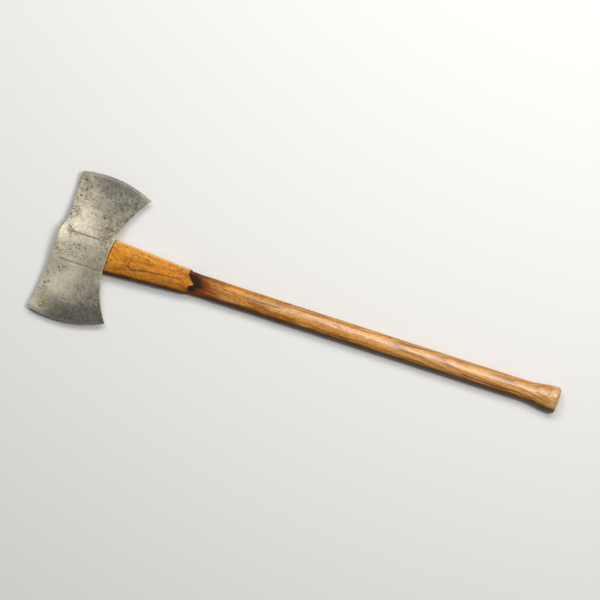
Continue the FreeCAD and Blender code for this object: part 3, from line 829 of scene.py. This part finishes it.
# the grime colour is also painted shade on the handle's underside
GRIME_AND_SHADE, SMOKE, CHAR = (38, 18, 4), (92, 40, 10), (26, 10, 4)
# the seam colour is painted shade next to the head
CRACK, SEAM_SHADE, END_GRAIN = (84, 44, 14), (34, 18, 8), (104, 66, 36)
# wedges
WEDGE_WOOD, WEDGE_DIRT = ((196, 156, 98), (128, 86, 44)), (70, 48, 30)
WEDGE_RUST, WEDGE_BRIGHT = ((60, 40, 30), (142, 96, 62)), (128, 120, 108)


class Graph:
    """A material's nodes, under short names."""

    def __init__(self, name):
        self.material = bpy.data.materials.new(name)
        self.material.use_nodes = True
        self.nodes = self.material.node_tree.nodes
        self.links = self.material.node_tree.links
        self.shader = self.nodes["Principled BSDF"]
        self.place = self.nodes.new("ShaderNodeTexCoord").outputs["Object"]

    def plug(self, value, socket):
        if isinstance(value, bpy.types.NodeSocket):
            self.links.new(value, socket)
        else:
            socket.default_value = value

    def node(self, kind, **inputs):
        """New node, with its inputs set or linked by name."""
        made = self.nodes.new("ShaderNode" + kind)
        for name, value in inputs.items():
            self.plug(value, made.inputs[name.replace("_", " ")])
        return made

    def mark(self, name):
        made = self.node("Attribute")
        made.attribute_name = name
        return made.outputs["Fac"]

    def math(self, operation, *values, clamp=False):
        node = self.nodes.new("ShaderNodeMath")
        node.operation = operation
        node.use_clamp = clamp
        for value, socket in zip(values, node.inputs):
            self.plug(value, socket)
        return node.outputs[0]

    add = partialmethod(math, "ADD")
    less = partialmethod(math, "SUBTRACT")
    times = partialmethod(math, "MULTIPLY")

    def noise(self, scale, detail, roughness, stretch=(1, 1, 1)):
        place = self.node("Mapping", Vector=self.place, Scale=stretch).outputs[0]
        made = self.node("TexNoise", Vector=place, Scale=scale, Detail=detail, Roughness=roughness)
        return made.outputs["Fac"]

    def band(self, value, low, high):
        """0 below low and 1 above high. low may be the larger."""
        ends = {"To_Min": float(low > high), "To_Max": float(low < high)}
        made = self.node("MapRange", Value=value, From_Min=min(low, high), From_Max=max(low, high), **ends)
        made.interpolation_type = "SMOOTHSTEP"
        return made.outputs["Result"]

    def mix(self, share, first, second):
        node = self.nodes.new("ShaderNodeMix")
        node.data_type = "RGBA"
        self.plug(share, node.inputs[0])
        self.plug(first, node.inputs[6])
        self.plug(second, node.inputs[7])
        return node.outputs[2]

    def tinge(self, colour, share, amount, dye):
        """Colour turned towards a dye where share is high, by amount at most."""
        return self.mix(self.times(share, amount), colour, tint(*dye))

    def feed(self, name, value):
        self.plug(value, self.shader.inputs[name])

    def bump(self, height, strength, distance):
        made = self.node("Bump", Strength=strength, Distance=distance, Height=height)
        self.feed("Normal", made.outputs[0])


def steel_material(name, grind):
    """Old forged steel: mottled grey with painted reflection and shade, brown in its pits, bright on worn
    arrises with a painted highlight on those facing +X, and ground by some share.
    """
    graph = Graph(name)
    cloud = graph.noise(48, 4, 0.6)
    mottle = graph.noise(170, 4, 0.65, (1, 0.8, 1))
    speckle = graph.noise(430, 4, 0.62)
    fine = graph.noise(1500, 3, 0.6)
    drawn = graph.noise(620, 3, 0.6, (1, 0.10, 0.4))
    shade = graph.times(graph.less(drawn, 0.5), 0.35 * grind)
    for field, share in ((cloud, 0.38), (mottle, 0.62), (speckle, 0.62), (fine, 0.25)):
        shade = graph.add(shade, graph.times(graph.less(field, 0.5), share))
    lively = graph.less(1.0, graph.times(graph.mark("calm"), 0.60))
    # the tone mark is the steel's own tone with painted reflection and shade
    tone = graph.add(graph.mark("tone"), graph.times(shade, lively), clamp=True)
    colour = graph.mix(tone, tint(*STEEL_DARK), tint(*STEEL_BRIGHT))
    warm = graph.times(graph.mark("warm"), graph.band(mottle, 0.38, 0.62))
    colour = graph.tinge(colour, warm, 0.38, TAN_RUST)
    crowd = graph.add(speckle, graph.times(graph.mark("rough"), 0.15))
    spots = graph.band(graph.add(crowd, graph.times(mottle, 0.15)), 0.63, 0.73)
    spots = graph.times(spots, lively)
    colour = graph.tinge(colour, spots, 0.55, SPOT_RUST)
    pit = graph.times(graph.band(graph.mark("pit"), 0.05, 0.55), graph.band(speckle, 0.25, 0.5))
    colour = graph.tinge(colour, pit, 0.80, PIT_RUST)
    # darker along the grooves beside the eye band
    groove = graph.times(graph.mark("groove"), graph.band(speckle, 0.15, 0.5))
    colour = graph.tinge(colour, groove, 0.78, GROOVE_DARK)
    # bare steel on rubbed arrises, and a painted highlight on the arrises facing +X
    colour = graph.tinge(colour, graph.mark("worn"), 0.85, STEEL_BARE_AND_HIGHLIGHT)
    colour = graph.tinge(colour, graph.mark("honed"), 0.35, STEEL_HONED)
    graph.feed("Base Color", colour)
    rust_and_grooves = graph.math("MAXIMUM", pit, graph.math("MAXIMUM", spots, groove))
    graph.feed("Metallic", graph.less(0.5, graph.times(rust_and_grooves, 0.45)))
    gloss = graph.add(0.40, graph.times(speckle, 0.22))
    gloss = graph.add(gloss, graph.times(rust_and_grooves, 0.35))
    graph.feed("Roughness", graph.less(gloss, graph.times(graph.mark("honed"), 0.12)))
    height = graph.add(speckle, graph.times(fine, 0.35))
    height = graph.less(height, graph.times(spots, 0.7))
    height = graph.add(height, graph.times(drawn, 0.4 * grind))
    graph.bump(height, 0.6, 0.3 * MM)
    return graph.material


RING_PITCH = 2.6 * MM
RING_RUN_OUT = 0.035
HEART_Y, HEART_Z = 12 * MM, 45 * MM


def growth_rings(graph):
    """Saw-tooth from 0 to 1 across each growth ring. The handle cuts the rings at a slight slope."""
    warp = graph.noise(9, 3, 0.5, (0.35, 1, 1))
    parts = graph.nodes.new("ShaderNodeSeparateXYZ")
    graph.plug(graph.place, parts.inputs[0])
    x, y, z = parts.outputs
    side = graph.add(graph.add(y, HEART_Y), graph.times(x, RING_RUN_OUT))
    lift = graph.add(z, HEART_Z)
    radius = graph.math("SQRT", graph.add(graph.times(side, side), graph.times(lift, lift)))
    radius = graph.add(radius, graph.times(warp, 0.016))
    return graph.math("FRACT", graph.math("DIVIDE", radius, RING_PITCH))


def wood_colours(graph, late, fibre, blotch):
    """Colour of the sound wood, by grip and shoulder, and its dark pores."""
    flecks = graph.noise(620, 4, 0.65, (0.5, 1, 1))
    pores = graph.noise(1500, 2, 0.5, (0.035, 1, 1))
    cloud = graph.noise(26, 4, 0.55, (0.35, 1, 1))
    bold = graph.less(0.46, graph.times(graph.mark("shoulder"), 0.26))
    fleck = graph.times(graph.less(flecks, fibre), graph.mark("shoulder"))
    grain = graph.add(fibre, graph.times(fleck, 0.75))
    grain = graph.add(graph.times(late, bold), graph.times(grain, 0.70))
    grain = graph.add(grain, graph.times(graph.less(cloud, 0.5), 0.8), clamp=True)
    grip, pale, thick = (graph.mix(grain, tint(*early), tint(*summer))
                         for early, summer in (GRIP_WOOD, PALE_WOOD, SHOULDER_WOOD))
    grip = graph.mix(graph.mark("pale"), grip, pale)
    colour = graph.mix(graph.mark("shoulder"), grip, thick)
    dark_pores = graph.times(graph.band(pores, 0.56, 0.70), graph.band(late, 0.75, 0.2))
    colour = graph.tinge(colour, dark_pores, 0.55, PORE)
    colour = graph.tinge(colour, graph.band(blotch, 0.48, 0.70), 0.40, STAIN)
    dapple = graph.add(graph.noise(360, 4, 0.65, (0.6, 1, 1)), graph.times(blotch, 0.3))
    dapple = graph.times(graph.band(dapple, 0.61, 0.74), 0.55)
    colour = graph.tinge(colour, dapple, graph.less(1.0, graph.times(graph.mark("pale"), 0.6)), DAPPLE)
    return colour, dark_pores


def wood_material(name):
    """Oiled hickory: orange shoulder, scorched neck, and a paler, worn grip."""
    graph = Graph(name)
    ring = growth_rings(graph)
    late = graph.times(graph.band(ring, 0.25, 0.95), graph.band(ring, 1.0, 0.93))
    fibre = graph.noise(700, 4, 0.6, (0.03, 1, 1))
    blotch = graph.noise(110, 4, 0.6, (0.35, 1, 1))
    colour, dark_pores = wood_colours(graph, late, fibre, blotch)
    # pale where the grip and knob rim are worn, and a painted highlight on the shoulder's upper arris
    colour = graph.tinge(colour, graph.mark("worn"), 0.5, BARE_WOOD_AND_HIGHLIGHT)
    # painted shade on the underside and the shoulder's lower part, with dirt in patches and darker towards
    # the knob
    colour = graph.tinge(colour, graph.mark("grime"), 0.88, GRIME_AND_SHADE)
    smoked = graph.times(graph.mark("smoked"), graph.band(blotch, 0.10, 0.45), clamp=True)
    colour = graph.tinge(colour, smoked, 0.96, SMOKE)
    scorch = graph.band(graph.add(graph.mark("scorch"), graph.times(blotch, 0.30)), 0.12, 1.0)
    scorch = graph.times(scorch, graph.band(graph.mark("scorch"), 0.0, 0.4))
    colour = graph.tinge(colour, scorch, 0.97, CHAR)
    crack = graph.times(graph.band(graph.mark("crack"), 0.15, 0.95), graph.band(blotch, 0.25, 0.5))
    colour = graph.tinge(colour, crack, 0.8, CRACK)
    # painted shade in the seam next to the head
    colour = graph.tinge(colour, graph.mark("seam"), 0.9, SEAM_SHADE)
    colour = graph.tinge(colour, graph.mark("end"), 0.45, END_GRAIN)
    graph.feed("Base Color", colour)
    gloss = graph.add(0.40, graph.times(blotch, 0.25))
    gloss = graph.add(gloss, graph.times(graph.mark("shoulder"), 0.12))
    gloss = graph.add(gloss, graph.times(graph.math("MAXIMUM", scorch, smoked), 0.35))
    graph.feed("Roughness", graph.add(gloss, graph.times(graph.mark("end"), 0.25)))
    graph.shader.inputs["Specular IOR Level"].default_value = 0.25
    coat = graph.add(0.08, graph.times(graph.mark("rubbed"), 0.58))
    coat = graph.less(coat, graph.times(graph.mark("grime"), 0.5), clamp=True)
    graph.feed("Coat Weight", graph.less(coat, graph.times(graph.mark("smoked"), 1.3), clamp=True))
    graph.shader.inputs["Coat Roughness"].default_value = 0.3
    height = graph.less(graph.times(fibre, 0.8), graph.times(dark_pores, 0.8))
    graph.bump(graph.add(height, graph.times(blotch, 0.4)), 0.45, 0.25 * MM)
    return graph.material


def wedge_wood_material():
    """Pale wedge wood, crushed and dirty where it was driven."""
    graph = Graph("wedge_wood")
    fibre = graph.noise(500, 4, 0.6, (0.06, 0.5, 1))
    blotch = graph.noise(160, 4, 0.6)
    colour = graph.mix(fibre, tint(*WEDGE_WOOD[0]), tint(*WEDGE_WOOD[1]))
    graph.feed("Base Color", graph.tinge(colour, graph.band(blotch, 0.42, 0.7), 0.7, WEDGE_DIRT))
    graph.feed("Roughness", graph.add(0.55, graph.times(blotch, 0.3)))
    graph.bump(graph.add(fibre, blotch), 0.6, 0.3 * MM)
    return graph.material


def wedge_steel_material():
    """Rusted steel wedge, polished a little where the hammer met it."""
    graph = Graph("wedge_rust")
    scale = graph.noise(300, 5, 0.7)
    cloud = graph.noise(90, 3, 0.6)
    bright = graph.band(cloud, 0.52, 0.68)
    colour = graph.mix(scale, tint(*WEDGE_RUST[0]), tint(*WEDGE_RUST[1]))
    graph.feed("Base Color", graph.tinge(colour, bright, 0.6, WEDGE_BRIGHT))
    graph.feed("Metallic", graph.times(bright, 0.7))
    graph.feed("Roughness", graph.less(0.85, graph.times(bright, 0.35)))
    graph.bump(scale, 0.7, 0.3 * MM)
    return graph.material


# ---------------------------------------------------------------- stage, light and camera

SLOPE = math.radians(18.2)
RIGHT = Vector((math.cos(SLOPE), math.sin(SLOPE), 0))
UP = Vector((-math.sin(SLOPE), math.cos(SLOPE), 0))


CAMERA_RAISE = math.radians(10.8)
CAMERA_DISTANCE = 5.19
CAMERA_TARGET = Vector((-18.6 * MM, 30.35 * MM, MID_Z))
FLOOR_HALF = 6.0
LAMP_HEIGHT = 2.6


def make_camera():
    """Camera square to the handle's slope, a little above the cheek's own normal."""
    away = Vector((0, 0, 1)) * math.cos(CAMERA_RAISE) + UP * math.sin(CAMERA_RAISE)
    camera = link_object("camera", bpy.data.cameras.new("camera"))
    camera.data.sensor_width = 36
    camera.data.lens = 180
    camera.data.clip_start = 0.05
    turn = Matrix((RIGHT, away.cross(RIGHT), away)).transposed().to_4x4()
    camera.matrix_world = Matrix.Translation(CAMERA_TARGET + away * CAMERA_DISTANCE) @ turn
    bpy.context.scene.camera = camera


def make_light(name, right, up, size, power, colour):
    """Softbox that faces the middle of the axe, its long side along the camera's own right."""
    place = UP * up + RIGHT * right + Vector((0, 0, LAMP_HEIGHT))
    lamp = bpy.data.lights.new(name, "AREA")
    lamp.shape = "RECTANGLE"
    lamp.size, lamp.size_y = size
    lamp.energy = power
    lamp.color = colour
    away = (place - RIGHT * place.dot(RIGHT)).normalized()
    turn = Matrix((RIGHT, away.cross(RIGHT), away)).transposed().to_4x4()
    link_object(name, lamp).matrix_world = Matrix.Translation(place) @ turn


def make_floor():
    """Plain pale floor under the axe."""
    mesh = bpy.data.meshes.new("floor")
    corners = [(x * FLOOR_HALF, y * FLOOR_HALF, 0) for x, y in ((-1, -1), (1, -1), (1, 1), (-1, 1))]
    mesh.from_pydata(corners, [], [(0, 1, 2, 3)])
    made = bpy.data.materials.new("floor_paper")
    made.use_nodes = True
    shader = made.node_tree.nodes["Principled BSDF"]
    shader.inputs["Base Color"].default_value = (0.56, 0.56, 0.555, 1)
    shader.inputs["Roughness"].default_value = 0.9
    mesh.materials.append(made)
    link_object("floor", mesh)


def make_stage():
    """Floor, faint sky, a broad key light beyond the upper bit and a strip for the grip's shine."""
    make_floor()
    world = bpy.data.worlds.new("studio")
    world.use_nodes = True
    world.node_tree.nodes["Background"].inputs["Color"].default_value = (0.92, 0.95, 1.0, 1)
    world.node_tree.nodes["Background"].inputs["Strength"].default_value = 0.2
    bpy.context.scene.world = world
    bpy.context.scene.view_settings.view_transform = "Standard"
    make_light("key", 0.15, 2.1, (2.8, 1.0), 107, (1.0, 0.985, 0.95))
    make_light("strip", 0.95, 0.72, (1.1, 0.46), 60, (1.0, 0.97, 0.93))


def finish_skin(piece, material, node, bend_degrees):
    """Give a skin its material, and let it stand for its CAD node."""
    piece.data.validate()
    piece.data.materials.clear()
    piece.data.materials.append(material)
    piece.data.shade_smooth()
    piece.data.set_sharp_from_angle(angle=math.radians(bend_degrees))
    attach(piece, "root")
    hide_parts(node)


def dress_node(node, material):
    """Give a CAD node that stays in view its material."""
    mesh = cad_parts[node].data
    mesh.materials.clear()
    mesh.materials.append(material)


def main():
    forged = steel_material("forged_head_steel", 0.3)
    ground = steel_material("ground_bit_steel", 1.0)
    hickory = wood_material("oiled_hickory")
    head = make_head()
    for node, material, slot in (("head_body", forged, "head_iron"), ("upper_bit", ground, "bit_steel"),
                                 ("lower_bit", ground, "bit_steel")):
        mark_steel(head[node])
        finish_skin(head[node], material, node, 40)
    haft = make_haft()
    for wedge in ("eye_wedge", "steel_wedge"):
        cutter = closed_copy(wedge)
        combine(haft, cutter, "DIFFERENCE")
        discard(cutter)
    mark_wood(haft)
    finish_skin(haft, hickory, "handle", 45)
    dress_node("eye_wedge", wedge_wood_material())
    dress_node("steel_wedge", wedge_steel_material())
    make_stage()
    make_camera()


main()
